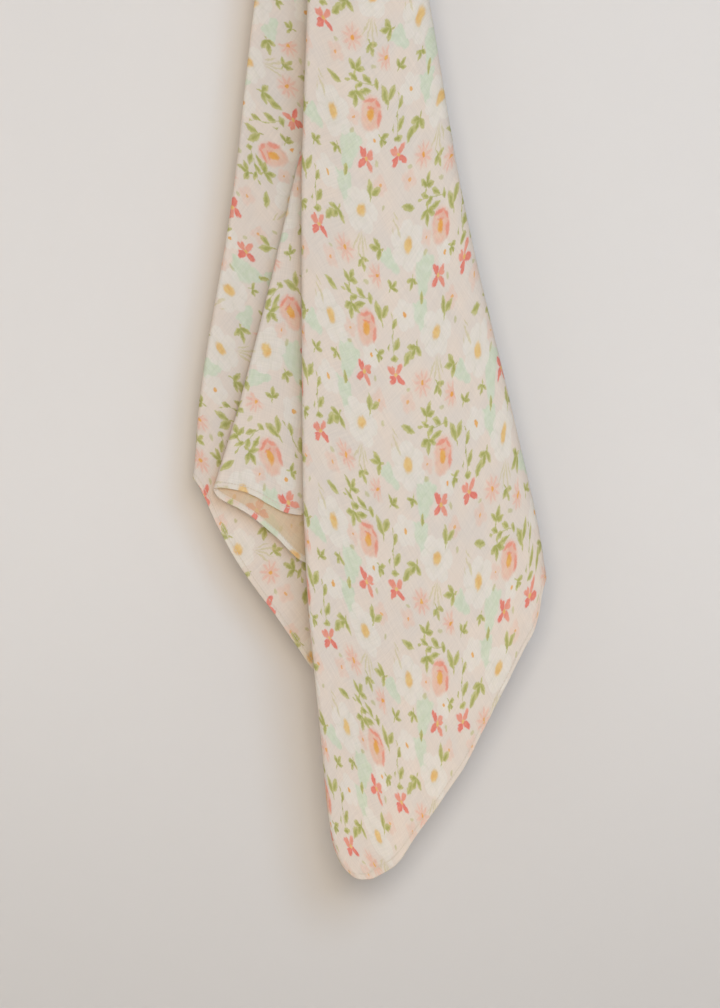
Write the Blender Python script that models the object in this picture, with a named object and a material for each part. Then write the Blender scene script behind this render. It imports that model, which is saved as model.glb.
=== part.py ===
"""A muslin swaddle blanket, held up at the middle of its square and hanging in folds.

Frame: metres, +Z up, the front towards -Y, and the origin at the point the cloth hangs from,
which is the top of its crown. The square is one sheet. Its folds run down from the crown, so a
level cut through the hanging cloth is one closed line that doubles back at each fold. The two
tables below give that line: where each fold lies across the cloth at a few depths, and how far
down the hem reaches beneath it.
"""

from collections import namedtuple
import math

import bmesh
import bpy

# The cloth as it was cut.
CLOTH_SIDE = 1.2
CORNER_RADIUS = 0.045
CLOTH_THICKNESS = 0.0011

# The crown: the smooth cap of cloth over whatever holds it up.
CROWN_HALF_WIDTH = 0.025
CROWN_HALF_DEPTH = 0.024
CROWN_HEIGHT = 0.018
CROWN_TURN = math.radians(9.0)     # the lowest corner leaves the crown this far round from the front
STACKED_BY = 0.10                  # at this depth the cloth lies in order from front to back
GATHERED_BY = 0.24                 # and at this one its folds are as deep as the tables say

# The panels lie one behind the other, like leaves: leaf 0 is the front of the bundle.
BACK_LEAF = 17
LEAF_GAP_TOP = 0.0040
LEAF_GAP_BELOW = 0.0060
LEAVES_SPREAD_BY = 0.55            # depth at which the leaves have spread to their full gap
CROWN_SLANT = 0.75                 # share of a gap that a panel crosses on its way, at the crown
LOWER_SLANT = 0.15                 # and where the folds are full

# Soft shape of the leaves: the front ones bow forwards, the rear ones are fluted.
FRONT_BOW = 0.008
BOWED_LEAVES = 8
FLUTE_DEPTH = 0.006
FLUTE_WIDTH = 0.190
FLUTE_TOP_SHARE = 0.35             # share of that width the flutes have at the crown
FLUTE_START_X = 0.060

# A fold: bearing is its direction from the middle of the flat cloth, in degrees round from the
# lowest corner. side is 1 where the cloth turns back at the right, -1 at the left. The leaves
# are those before and after the turn, with the leaf its tip reaches out from. round is the
# width of the turn, or 0 for a turn as round as the gap between two leaves. The last columns
# are how far the fold lies to the right, in metres, at each of the DEPTHS under the crown.
DEPTHS = (0.02, 0.25, 0.40, 0.55, 0.61, 0.64, 0.70, 0.75, 0.80, 0.87, 0.905)
Fold = namedtuple("Fold", "name bearing side leaf_in leaf_tip leaf_out round across")
FOLDS = (
    Fold("front left", 1.3, -1, 0, 0.5, 1, 0,
         (-0.009, -0.016, -0.0205, -0.020, -0.0195, -0.0185, -0.0155, -0.011, -0.006, 0.0015, 0.0140)),
    Fold("behind the front", 15.9, 1, 1, 1.5, 2, 0,
         (0.020, 0.050, 0.080, 0.112, 0.117, 0.118, 0.118, 0.112, 0.105, 0.090, 0.080)),
    Fold("inner front", 25.2, -1, 2, 2.5, 3, 0,
         (0.004, 0.012, 0.020, 0.030, 0.031, 0.031, 0.030, 0.030, 0.030, 0.030, 0.030)),
    Fold("behind the inner front", 34.1, 1, 3, 3.5, 4, 0,
         (0.020, 0.048, 0.078, 0.110, 0.112, 0.112, 0.110, 0.105, 0.100, 0.090, 0.080)),
    Fold("middle flap", 53.5, -1, 4, 4.5, 5, 0,
         (0.008, 0.000, -0.030, -0.067, -0.085, -0.094, -0.110, -0.115, -0.115, -0.115, -0.115)),
    Fold("behind the middle flap", 72.7, 1, 5, 5.5, 6, 0,
         (0.020, 0.048, 0.078, 0.110, 0.114, 0.115, 0.115, 0.108, 0.100, 0.090, 0.080)),
    Fold("inner middle", 81.6, -1, 6, 6.5, 7, 0,
         (0.000, 0.005, 0.015, 0.028, 0.030, 0.030, 0.030, 0.030, 0.032, 0.034, 0.036)),
    Fold("second corner", 89.7, 1, 7, 7.5, 8, 0,
         (0.018, 0.045, 0.075, 0.105, 0.106, 0.106, 0.103, 0.090, 0.074, 0.060, 0.050)),
    Fold("left panel", 111.4, -1, 8, 8.5, 9, 0,
         (-0.025, -0.0565, -0.0737, -0.098, -0.103, -0.115, -0.141, -0.148, -0.150, -0.150, -0.150)),
    Fold("behind the left panel", 136.0, 1, 9, 9.5, 10, 0,
         (0.018, 0.048, 0.076, 0.108, 0.110, 0.110, 0.108, 0.100, 0.090, 0.080, 0.070)),
    Fold("left wrap", 160.0, -1, 10, 13, 17, 0.016,
         (-0.022, -0.048, -0.064, -0.082, -0.078, -0.074, -0.075, -0.075, -0.075, -0.075, -0.075)),
    Fold("back right", 192.0, 1, 17, 16.5, 16, 0,
         (0.022, 0.052, 0.080, 0.112, 0.118, 0.120, 0.122, 0.115, 0.105, 0.095, 0.085)),
    Fold("inner back", 214.5, -1, 16, 15.5, 15, 0,
         (-0.014, -0.034, -0.048, -0.066, -0.066, -0.064, -0.060, -0.060, -0.060, -0.060, -0.060)),
    Fold("middle right", 236.5, 1, 15, 14.5, 14, 0,
         (0.024, 0.055, 0.083, 0.114, 0.118, 0.118, 0.115, 0.110, 0.105, 0.100, 0.095)),
    Fold("inner middle back", 258.5, -1, 14, 13.5, 13, 0,
         (-0.012, -0.030, -0.042, -0.054, -0.050, -0.045, -0.034, -0.024, -0.015, -0.010, -0.010)),
    Fold("near right", 284.0, 1, 13, 12.5, 12, 0,
         (0.024, 0.055, 0.083, 0.114, 0.118, 0.118, 0.112, 0.100, 0.085, 0.075, 0.070)),
    Fold("inner near", 311.0, -1, 12, 11.5, 11, 0,
         (-0.014, -0.036, -0.050, -0.070, -0.070, -0.068, -0.060, -0.060, -0.060, -0.060, -0.060)),
    Fold("right wrap", 337.5, 1, 11, 4, 0, 0.019,
         (0.031, 0.073, 0.0985, 0.133, 0.147, 0.1535, 0.1625, 0.168, 0.172, 0.178, 0.180)),
)

# How far down the hem hangs, as a multiple of its distance from the middle of the flat cloth.
# It is over 1 at the lowest corner, where the cloth hangs on the bias and stretches.
Hang = namedtuple("Hang", "bearing stretch")
HEM = (
    Hang(0.2, 1.086),
    Hang(1.3, 1.083),
    Hang(15.9, 1.030),
    Hang(34.1, 1.030),
    Hang(46.9, 1.055),
    Hang(53.5, 1.013),
    Hang(61.6, 1.070),
    Hang(72.7, 1.030),
    Hang(81.6, 1.000),
    Hang(90.0, 0.995),
    Hang(99.2, 1.013),
    Hang(105.2, 0.979),
    Hang(111.4, 0.926),
    Hang(136.0, 0.990),
    Hang(160.0, 0.960),
    Hang(180.0, 0.985),
    Hang(214.5, 0.980),
    Hang(258.5, 0.960),
    Hang(270.0, 0.980),
    Hang(311.0, 0.990),
    Hang(337.5, 1.050),
    Hang(340.5, 1.031),
    Hang(343.8, 1.061),
    Hang(346.7, 1.093),
    Hang(349.4, 1.116),
    Hang(353.0, 1.124),
    Hang(356.1, 1.115),
    Hang(357.8, 1.098),
    Hang(359.2, 1.088),
)

# How finely the sheet is divided.
WRAP_STEPS = 5                     # facets round a wide turn; a close turn has two
PANEL_STEPS = {"right wrap": 9, "left wrap": 4}
PLAIN_PANEL_STEPS = 3
TOWARDS_TIP = 1.6                  # over 1 sets the front panel's columns closer towards the lowest corner
CROWN_ROWS = 4
CROWN_SHARE = 0.055                # share of the way to the hem that the crown's rows take up
HANGING_ROWS = 21
ROW_EASE = 1.45                    # over 1 sets the rows closer together towards the crown
WELD = 0.0014                      # points this close are one point, down to this depth
WELD_DEPTH = 0.065

MUSLIN_COLOUR = (0.76, 0.68, 0.61, 1.0)
MUSLIN_ROUGHNESS = 0.9


def eased(share):
    """0 to 1 with a level start and end."""
    share = min(max(share, 0.0), 1.0)
    return share * share * (3.0 - 2.0 * share)


def slopes_through(places, values):
    """The slope at each point of a smooth curve that never overshoots its points."""
    rises = [(values[i + 1] - values[i]) / (places[i + 1] - places[i]) for i in range(len(values) - 1)]
    slopes = [rises[0]]
    for before, after in zip(rises, rises[1:]):
        slopes.append(0.0 if before * after <= 0.0 else 2.0 * before * after / (before + after))
    return slopes + [rises[-1]]


def curve_value(places, values, slopes, place):
    """The value at one place on that curve, held level outside its ends."""
    place = min(max(place, places[0]), places[-1])
    i = max(k for k in range(len(places) - 1) if places[k] <= place)
    span = places[i + 1] - places[i]
    t = (place - places[i]) / span
    return ((1.0 + 2.0 * t) * (1.0 - t) ** 2 * values[i]
            + t * (1.0 - t) ** 2 * span * slopes[i]
            + t * t * (3.0 - 2.0 * t) * values[i + 1]
            + t * t * (t - 1.0) * span * slopes[i + 1])


def flat_reach(bearing):
    """Distance from the middle of the flat cloth to its hem, with the corners rounded."""
    off_corner = math.radians(abs((bearing + 45.0) % 90.0 - 45.0))
    half = CLOTH_SIDE / 2.0
    arc_starts = math.pi / 4.0 - math.atan((half - CORNER_RADIUS) / half)
    if off_corner >= arc_starts:
        return half / math.cos(math.pi / 4.0 - off_corner)
    centre = (half - CORNER_RADIUS) * math.sqrt(2.0)
    across = centre * math.sin(off_corner)
    return centre * math.cos(off_corner) + math.sqrt(CORNER_RADIUS ** 2 - across ** 2)


HEM_BEARINGS = [HEM[-1].bearing - 360.0] + [row.bearing for row in HEM] + [HEM[0].bearing + 360.0]
HEM_STRETCHES = [HEM[-1].stretch] + [row.stretch for row in HEM] + [HEM[0].stretch]
HEM_SLOPES = slopes_through(HEM_BEARINGS, HEM_STRETCHES)
ACROSS_SLOPES = {fold.name: slopes_through(DEPTHS, fold.across) for fold in FOLDS}


def hem_depth(bearing):
    """Depth of the hem under the crown on one bearing."""
    return flat_reach(bearing) * curve_value(HEM_BEARINGS, HEM_STRETCHES, HEM_SLOPES, bearing % 360.0)


def fold_across(fold, depth):
    return curve_value(DEPTHS, fold.across, ACROSS_SLOPES[fold.name], depth)


def gathering(depth):
    """0 on the crown, 1 where the folds are as deep as the tables say."""
    return eased((depth - CROWN_HEIGHT) / (GATHERED_BY - CROWN_HEIGHT))


def panel_slants(before, after, depth):
    """The leaves a panel starts and ends on: it slants from one fold back, or forwards, to the next."""
    backwards = before.leaf_out > before.leaf_in and after.leaf_out > after.leaf_in
    forwards = before.leaf_out < before.leaf_in and after.leaf_out < after.leaf_in
    slant = LOWER_SLANT + (CROWN_SLANT - LOWER_SLANT) * (1.0 - gathering(depth))
    half = (backwards - forwards) * slant / 2.0
    return before.leaf_out - half, before.leaf_out + half


def leaf_y(leaf, depth):
    """How far back a leaf lies, before its bow and flutes."""
    spread = eased(depth / LEAVES_SPREAD_BY)
    gap = LEAF_GAP_TOP + (LEAF_GAP_BELOW - LEAF_GAP_TOP) * spread
    return (leaf - BACK_LEAF / 2.0) * gap


def soft_y(x, leaf, depth):
    """The bow of the front leaves and the flutes of the rear ones."""
    left = fold_across(FOLDS[0], depth)
    right = fold_across(FOLDS[-1], depth)
    along = min(max((x - left) / (right - left), 0.0), 1.0)
    bow = FRONT_BOW * max(0.0, 1.0 - leaf / BOWED_LEAVES) * math.sin(math.pi * along)
    width = FLUTE_WIDTH * (FLUTE_TOP_SHARE + (1.0 - FLUTE_TOP_SHARE) * eased(depth / LEAVES_SPREAD_BY))
    flutes = math.sin(2.0 * math.pi * (x - FLUTE_START_X) / width)
    return FLUTE_DEPTH * width / FLUTE_WIDTH * leaf / BACK_LEAF * flutes - bow


def turn_point(fold, angle, depth):
    """A point of the turn at a fold: angle runs from -90 to 90 degrees, 0 at its tip.

    It is given as x, y on the plain leaves, and what their soft shape adds to y.
    """
    place = FOLDS.index(fold)
    if angle > 0.0:
        leaf = panel_slants(fold, FOLDS[(place + 1) % len(FOLDS)], depth)[0]
    else:
        leaf = panel_slants(FOLDS[place - 1], fold, depth)[1]
    width = fold.round or abs(leaf_y(fold.leaf_out, depth) - leaf_y(fold.leaf_in, depth)) / 2.0
    x = fold_across(fold, depth) - fold.side * width * (1.0 - math.cos(angle))
    leaf = fold.leaf_tip + (leaf - fold.leaf_tip) * abs(math.sin(angle))
    return x, leaf_y(leaf, depth), soft_y(x, leaf, depth)


def panel_point(before, after, share, depth):
    """A point of the panel between two folds, share of the way across it, given as turn_point does."""
    start = turn_point(before, math.pi / 2.0, depth)[0]
    end = turn_point(after, -math.pi / 2.0, depth)[0]
    x = start + (end - start) * share
    first, last = panel_slants(before, after, depth)
    leaf = first + (last - first) * share
    return x, leaf_y(leaf, depth), soft_y(x, leaf, depth)


# A column is one line of the sheet from crown to hem. It is at an angle of a fold's turn, or,
# where after is given, a share of the way across the panel from that fold to the next.
Column = namedtuple("Column", "fold after where")


def line_columns():
    """The columns in order round the cloth, each with its part of the folded line."""
    columns = []
    for before, after in zip(FOLDS[-1:] + FOLDS, FOLDS):
        steps = PANEL_STEPS.get(before.name, PLAIN_PANEL_STEPS)
        ease = TOWARDS_TIP if after is FOLDS[0] else 1.0
        columns += [Column(before, after, 1.0 - (1.0 - step / steps) ** ease) for step in range(1, steps)]
        facets = WRAP_STEPS if after.round else 2
        angles = [math.radians(180.0 * step / facets - 90.0) for step in range(facets + 1)]
        columns += [Column(after, None, angle) for angle in angles]
    return columns


def section_point(column, depth):
    if column.after:
        return panel_point(column.fold, column.after, column.where, depth)
    return turn_point(column.fold, column.where, depth)


def column_bearings(columns):
    """Each column's bearing, shared out between fold tips by the length of the folded line."""
    sections = [section_point(column, LEAVES_SPREAD_BY) for column in columns]
    points = [(x, y + soft) for x, y, soft in sections]
    lengths = [0.0]
    for before, after in zip(points, points[1:] + points[:1]):
        lengths.append(lengths[-1] + math.dist(before, after))
    tips = []
    for fold in FOLDS:
        nearest = min((abs(column.where), i) for i, column in enumerate(columns)
                      if column.fold is fold and not column.after)
        tips.append((lengths[nearest[1]], fold.bearing))
    tips = [(tips[-1][0] - lengths[-1], tips[-1][1] - 360.0)] + tips
    bearings = []
    for length in lengths[:-1]:
        if length > tips[-1][0]:
            length -= lengths[-1]
        i = max(k for k in range(len(tips) - 1) if tips[k][0] <= length + 1e-9)
        share = (length - tips[i][0]) / (tips[i + 1][0] - tips[i][0])
        bearings.append(tips[i][1] + share * (tips[i + 1][1] - tips[i][1]))
    return bearings


def cloth_point(column, bearing, share):
    """Where the cloth hangs: share of the way from its middle to its hem on one bearing."""
    reach = flat_reach(bearing)
    crown_reach = math.pi / 2.0 * (CROWN_HALF_WIDTH + CROWN_HEIGHT) / 2.0
    run = reach * share
    angle = math.pi / 2.0 * min(run / crown_reach, 1.0)
    below = max(run - crown_reach, 0.0) / (reach - crown_reach)
    depth = CROWN_HEIGHT * (1.0 - math.cos(angle)) + (hem_depth(bearing) - CROWN_HEIGHT) * below
    way_round = math.radians(bearing) + CROWN_TURN
    crown_x = -CROWN_HALF_WIDTH * math.sin(way_round) * math.sin(angle)
    crown_y = -CROWN_HALF_DEPTH * math.cos(way_round) * math.sin(angle)
    stacked = eased((depth - CROWN_HEIGHT) / (STACKED_BY - CROWN_HEIGHT))
    gathered = gathering(depth)
    x, y, soft = section_point(column, depth)
    return (crown_x + (x - crown_x) * gathered, crown_y + (y - crown_y) * stacked + soft * gathered, -depth)


def row_shares():
    """The rows of the sheet, as shares of the way from the middle to the hem."""
    crown = [CROWN_SHARE * (row + 1) / CROWN_ROWS for row in range(CROWN_ROWS)]
    hanging = [CROWN_SHARE + (1.0 - CROWN_SHARE) * ((row + 1) / HANGING_ROWS) ** ROW_EASE
               for row in range(HANGING_ROWS)]
    return crown + hanging


def muslin_material():
    material = bpy.data.materials.new("printed muslin")
    material.use_nodes = True
    shader = material.node_tree.nodes["Principled BSDF"]
    shader.inputs["Base Color"].default_value = MUSLIN_COLOUR
    shader.inputs["Roughness"].default_value = MUSLIN_ROUGHNESS
    shader.inputs["Metallic"].default_value = 0.0
    return material


def blanket():
    """The one sheet: rings of points from the crown down to the hem, then thickened."""
    columns = line_columns()
    bearings = column_bearings(columns)
    mesh = bmesh.new()
    middle = mesh.verts.new((0.0, 0.0, 0.0))
    ring = None
    for share in row_shares():
        points = [cloth_point(column, bearing, share) for column, bearing in zip(columns, bearings)]
        row = [mesh.verts.new(point) for point in points]
        for i, vert in enumerate(row):
            following = (i + 1) % len(row)
            if ring:
                mesh.faces.new((ring[i], ring[following], row[following], vert))
            else:
                mesh.faces.new((middle, row[following], vert))
        ring = row
    crown = [vert for vert in mesh.verts if vert.co.z > -WELD_DEPTH]
    bmesh.ops.remove_doubles(mesh, verts=crown, dist=WELD)
    bmesh.ops.recalc_face_normals(mesh, faces=mesh.faces)
    data = bpy.data.meshes.new("blanket")
    mesh.to_mesh(data)
    mesh.free()
    cloth = bpy.data.objects.new("blanket", data)
    bpy.context.scene.collection.objects.link(cloth)
    thickness = cloth.modifiers.new("thickness", "SOLIDIFY")
    thickness.thickness = CLOTH_THICKNESS
    thickness.offset = 0.0
    cloth.data.materials.append(muslin_material())
    return cloth


for existing in list(bpy.data.objects):
    bpy.data.objects.remove(existing)
blanket()
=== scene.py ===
"""How a printed muslin swaddle blanket looks, hanging from the middle of its square.

Frame: metres, +Z up, the front towards -Y, and the origin at the point the cloth hangs from.
The square is first cut flat and hemmed, which gives each point its place on the print, and is
then hung: every point goes where the folds take it.
"""

from collections import namedtuple
import math

import bmesh
import bpy
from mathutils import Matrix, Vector, noise


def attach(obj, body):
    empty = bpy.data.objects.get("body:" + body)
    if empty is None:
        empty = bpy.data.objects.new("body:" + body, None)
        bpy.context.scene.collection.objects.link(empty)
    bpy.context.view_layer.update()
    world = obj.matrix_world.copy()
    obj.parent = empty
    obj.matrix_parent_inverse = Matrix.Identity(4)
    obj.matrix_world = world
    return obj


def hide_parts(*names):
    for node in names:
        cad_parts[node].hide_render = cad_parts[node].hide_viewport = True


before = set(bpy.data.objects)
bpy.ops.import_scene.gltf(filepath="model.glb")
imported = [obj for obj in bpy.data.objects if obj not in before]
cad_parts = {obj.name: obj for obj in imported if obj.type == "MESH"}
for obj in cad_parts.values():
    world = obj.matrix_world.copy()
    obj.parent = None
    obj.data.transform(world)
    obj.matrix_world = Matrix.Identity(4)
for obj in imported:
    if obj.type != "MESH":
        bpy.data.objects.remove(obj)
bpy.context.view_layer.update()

# The camera looks straight along +Y at the lower part of the cloth.
VIEW_X = 0.0225
VIEW_Z = -0.6255
VIEW_HEIGHT = 0.756
CAMERA_DISTANCE = 3.0
SENSOR = 36.0

# The stage: a pale wall close behind the cloth, and a pale floor below the picture.
WALL_Y = 0.066
WALL_WIDTH = 7.0
WALL_HEIGHT = 5.0
# Painted shade: between these heights the wall's paint darkens to its low colour, where the room's light
# falls off towards the floor.
WALL_PAINTED_SHADE_FROM = -0.58
WALL_PAINTED_SHADE_BY = -1.12
FLOOR_Z = -1.12
FLOOR_SIDE = 8.0
WALL_COLOUR = "DBD7D1"
WALL_PAINTED_SHADE_COLOUR = "CAC6C0"
FLOOR_COLOUR = "E4E0DA"
PAINT_ROUGHNESS = 0.9

# A cool light from the upper right, a warm one beside the camera, a dim one from behind the wall,
# which doesn't block it, and warm light all round.
KEY_DISTANCE = 2.6
KEY_SIDE_ANGLE = math.radians(13.0)
KEY_HEIGHT_ANGLE = math.radians(13.0)
KEY_WIDTH = 1.0
KEY_POWER = 22.0
KEY_COLOUR = "B8DAFF"
FILL_DISTANCE = 3.0
FILL_HEIGHT_ANGLE = math.radians(4.0)
FILL_WIDTH = 0.8
FILL_POWER = 38.5
FILL_COLOUR = "FFF4E6"
REAR_PLACE = (-1.6, 2.2, 1.2)      # from the middle of the view
REAR_WIDTH = 1.6
REAR_POWER = 18.0
REAR_COLOUR = "F6E4CC"
AMBIENT_COLOUR = "FFF5F0"
AMBIENT_STRENGTH = 0.37

# The cloth as it was cut.
CLOTH_SIDE = 1.2
CORNER_RADIUS = 0.045
MUSLIN_THICKNESS = 0.0007
HEM_THICKNESS = 0.0011
HEM_WIDTH = 0.0042

# The crown: the smooth cap of cloth over whatever holds it up.
CROWN_HALF_WIDTH = 0.025
CROWN_HALF_DEPTH = 0.024
CROWN_HEIGHT = 0.018
CROWN_TURN = math.radians(9.0)     # the lowest corner leaves the crown this far round from the front
STACKED_BY = 0.10                  # at this depth the cloth lies in order from front to back
GATHERED_BY = 0.24                 # and at this one its folds are as deep as the tables say

# The panels lie one behind the other, like leaves: leaf 0 is the front of the bundle.
BACK_LEAF = 17
LEAF_GAP_TOP = 0.0040
LEAF_GAP_BELOW = 0.0060
LEAVES_SPREAD_BY = 0.55            # depth at which the leaves have spread to their full gap
CROWN_SLANT = 0.75                 # share of a gap that a panel crosses on its way, at the crown
LOWER_SLANT = 0.15                 # and where the folds are full

# Soft shape of the leaves: the front ones bow forwards, the rear ones are fluted.
FRONT_BOW = 0.008
BOWED_LEAVES = 8
FLUTE_DEPTH = 0.006
FLUTE_WIDTH = 0.190
FLUTE_TOP_SHARE = 0.35             # share of that width the flutes have at the crown
FLUTE_START_X = 0.060

# A fold: bearing is its direction from the middle of the flat cloth, in degrees round from the
# lowest corner. side is 1 where the cloth turns back at the right, -1 at the left. The leaves
# are those before and after the turn, with the leaf its tip reaches out from. round is the
# width of the turn, or 0 for a turn as round as the gap between two leaves. columns is how many
# columns of mesh the panel after it has. The last ones are how far the fold lies to the right,
# in metres, at each of the DEPTHS under the crown.
DEPTHS = (0.02, 0.25, 0.40, 0.55, 0.61, 0.64, 0.70, 0.75, 0.80, 0.87, 0.905)
Fold = namedtuple("Fold", "name bearing side leaf_in leaf_tip leaf_out round columns across")
FOLDS = (
    Fold("front left", 1.3, -1, 0, 0.5, 1, 0, 14,
         (-0.009, -0.016, -0.0205, -0.020, -0.0195, -0.0185, -0.0155, -0.011, -0.006, 0.0015, 0.0140)),
    Fold("behind the front", 15.9, 1, 1, 1.5, 2, 0, 10,
         (0.020, 0.050, 0.080, 0.112, 0.117, 0.118, 0.118, 0.112, 0.105, 0.090, 0.080)),
    Fold("inner front", 25.2, -1, 2, 2.5, 3, 0, 10,
         (0.004, 0.012, 0.020, 0.030, 0.031, 0.031, 0.030, 0.030, 0.030, 0.030, 0.030)),
    Fold("behind the inner front", 34.1, 1, 3, 3.5, 4, 0, 36,
         (0.020, 0.048, 0.078, 0.110, 0.112, 0.112, 0.110, 0.105, 0.100, 0.090, 0.080)),
    Fold("middle flap", 53.5, -1, 4, 4.5, 5, 0, 24,
         (0.008, 0.000, -0.030, -0.067, -0.085, -0.094, -0.110, -0.115, -0.115, -0.115, -0.115)),
    Fold("behind the middle flap", 72.7, 1, 5, 5.5, 6, 0, 10,
         (0.020, 0.048, 0.078, 0.110, 0.114, 0.115, 0.115, 0.108, 0.100, 0.090, 0.080)),
    Fold("inner middle", 81.6, -1, 6, 6.5, 7, 0, 10,
         (0.000, 0.005, 0.015, 0.028, 0.030, 0.030, 0.030, 0.030, 0.032, 0.034, 0.036)),
    Fold("second corner", 89.7, 1, 7, 7.5, 8, 0, 34,
         (0.018, 0.045, 0.075, 0.105, 0.106, 0.106, 0.103, 0.090, 0.074, 0.060, 0.050)),
    Fold("left panel", 111.4, -1, 8, 8.5, 9, 0, 16,
         (-0.025, -0.0565, -0.0737, -0.098, -0.103, -0.115, -0.141, -0.148, -0.150, -0.150, -0.150)),
    Fold("behind the left panel", 136.0, 1, 9, 9.5, 10, 0, 14,
         (0.018, 0.048, 0.076, 0.108, 0.110, 0.110, 0.108, 0.100, 0.090, 0.080, 0.070)),
    Fold("left wrap", 160.0, -1, 10, 13, 17, 0.016, 44,
         (-0.022, -0.048, -0.064, -0.082, -0.078, -0.074, -0.075, -0.075, -0.075, -0.075, -0.075)),
    Fold("back right", 192.0, 1, 17, 16.5, 16, 0, 12,
         (0.022, 0.052, 0.080, 0.112, 0.118, 0.120, 0.122, 0.115, 0.105, 0.095, 0.085)),
    Fold("inner back", 214.5, -1, 16, 15.5, 15, 0, 12,
         (-0.014, -0.034, -0.048, -0.066, -0.066, -0.064, -0.060, -0.060, -0.060, -0.060, -0.060)),
    Fold("middle right", 236.5, 1, 15, 14.5, 14, 0, 12,
         (0.024, 0.055, 0.083, 0.114, 0.118, 0.118, 0.115, 0.110, 0.105, 0.100, 0.095)),
    Fold("inner middle back", 258.5, -1, 14, 13.5, 13, 0, 12,
         (-0.012, -0.030, -0.042, -0.054, -0.050, -0.045, -0.034, -0.024, -0.015, -0.010, -0.010)),
    Fold("near right", 284.0, 1, 13, 12.5, 12, 0, 12,
         (0.024, 0.055, 0.083, 0.114, 0.118, 0.118, 0.112, 0.100, 0.085, 0.075, 0.070)),
    Fold("inner near", 311.0, -1, 12, 11.5, 11, 0, 14,
         (-0.014, -0.036, -0.050, -0.070, -0.070, -0.068, -0.060, -0.060, -0.060, -0.060, -0.060)),
    Fold("right wrap", 337.5, 1, 11, 0.9, 0, 0.008, 56,
         (0.031, 0.073, 0.0985, 0.133, 0.147, 0.1535, 0.1625, 0.168, 0.172, 0.178, 0.180)),
)

# How far down the hem hangs, as a multiple of its distance from the middle of the flat cloth.
# It is over 1 at the lowest corner, where the cloth hangs on the bias and stretches.
Hang = namedtuple("Hang", "bearing stretch")
HEM = (
    Hang(0.0, 1.086), Hang(0.5, 1.083), Hang(0.9, 1.078), Hang(1.6, 1.068),
    Hang(15.9, 1.03), Hang(34.1, 1.03), Hang(46.5, 1.056), Hang(47.7, 1.0525),
    Hang(48.9, 1.0425), Hang(50.2, 1.029), Hang(51.6, 1.0185), Hang(53.4, 1.012),
    Hang(54.2, 1.0215), Hang(56.4, 1.033), Hang(58.6, 1.051), Hang(61.0, 1.072),
    Hang(72.7, 1.03), Hang(81.6, 1.0), Hang(90.0, 1.0), Hang(99.0, 1.0115),
    Hang(100.8, 1.004), Hang(103.3, 0.988), Hang(106.9, 0.966), Hang(110.0, 0.938),
    Hang(111.4, 0.925), Hang(136.0, 0.99), Hang(160.0, 0.96), Hang(180.0, 0.985),
    Hang(214.5, 0.98), Hang(258.5, 0.96), Hang(270.0, 0.98), Hang(311.0, 0.99),
    Hang(331.8, 1.03), Hang(337.5, 1.046), Hang(338.3, 1.05), Hang(338.9, 1.062),
    Hang(339.4, 1.075), Hang(340.1, 1.088), Hang(340.9, 1.0945), Hang(343.1, 1.115),
    Hang(345.7, 1.136), Hang(348.2, 1.1495), Hang(350.1, 1.15), Hang(353.2, 1.143),
    Hang(354.2, 1.139), Hang(355.4, 1.13), Hang(357.0, 1.111), Hang(358.0, 1.098),
    Hang(359.0, 1.09),
)

# The cloth's small shape. The swell is everywhere, the gathers fan out from the crown, and the
# hem waves a little where it hangs free.
SWELL_WIDTH = 0.075
SWELL_HEIGHT = 0.0022
GATHER_DEGREES = 4.5
GATHER_HEIGHT = 0.0016
GATHERS_END = 0.42
HEM_WAVE_WIDTH = 0.036
HEM_WAVE_HEIGHT = 0.0026
HEM_WAVE_REACH = 0.045
HEM_RIPPLE_WIDTH = 0.009
HEM_RIPPLE_HEIGHT = 0.0009
HEM_RIPPLE_REACH = 0.010

# Soft creases: their two ends on the flat cloth, their half width and their depth, in metres.
Crease = namedtuple("Crease", "x0 y0 x1 y1 width depth")
CREASES = (
    Crease(0.043, -0.267, 0.054, -0.327, 0.010, 0.0022),
    Crease(0.095, -0.470, 0.060, -0.540, 0.014, 0.0016),
    Crease(-0.460, -0.334, -0.511, -0.249, 0.005, 0.0016),
    Crease(-0.395, -0.330, -0.440, -0.245, 0.008, 0.0014),
    Crease(-0.420, 0.050, -0.480, 0.110, 0.010, 0.0018),
)

# The print. It repeats down columns of this width, and each column is a half drop from the last.
# All its measures are in millimetres on the flat cloth, with the lowest corner at the bottom.
MILLIMETRES = 1000.0               # in a metre
REPEAT_WIDTH = 70.0
REPEAT_HEIGHT = 138.0
COLUMN_SWAY = 6.0                  # how far the columns' edges sway, so that no straight line shows
COLUMN_SWAYS = 2.0                 # and how often in each repeat

# A brush mark: its middle, turn in degrees, half length and half width. A spot: where a motif
# lies in the repeat, its turn and its size.
Mark = namedtuple("Mark", "x y turn long wide")
Spot = namedtuple("Spot", "x y turn size")

# One layer of a motif: its paint, how much of it covers what is under it, how soft its edge is
# as a share of the mark, whether the marks are pointed like leaves, and the marks.
Layer = namedtuple("Layer", "paint cover soft pointed marks")
Motif = namedtuple("Motif", "name spots layers")


def ring(count, reach, long, wide):
    """Marks set evenly round a middle, each pointing away from it."""
    turns = [math.tau * place / count for place in range(count)]
    return tuple(Mark(reach * math.cos(turn), reach * math.sin(turn), math.degrees(turn), long, wide)
                 for turn in turns)


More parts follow.
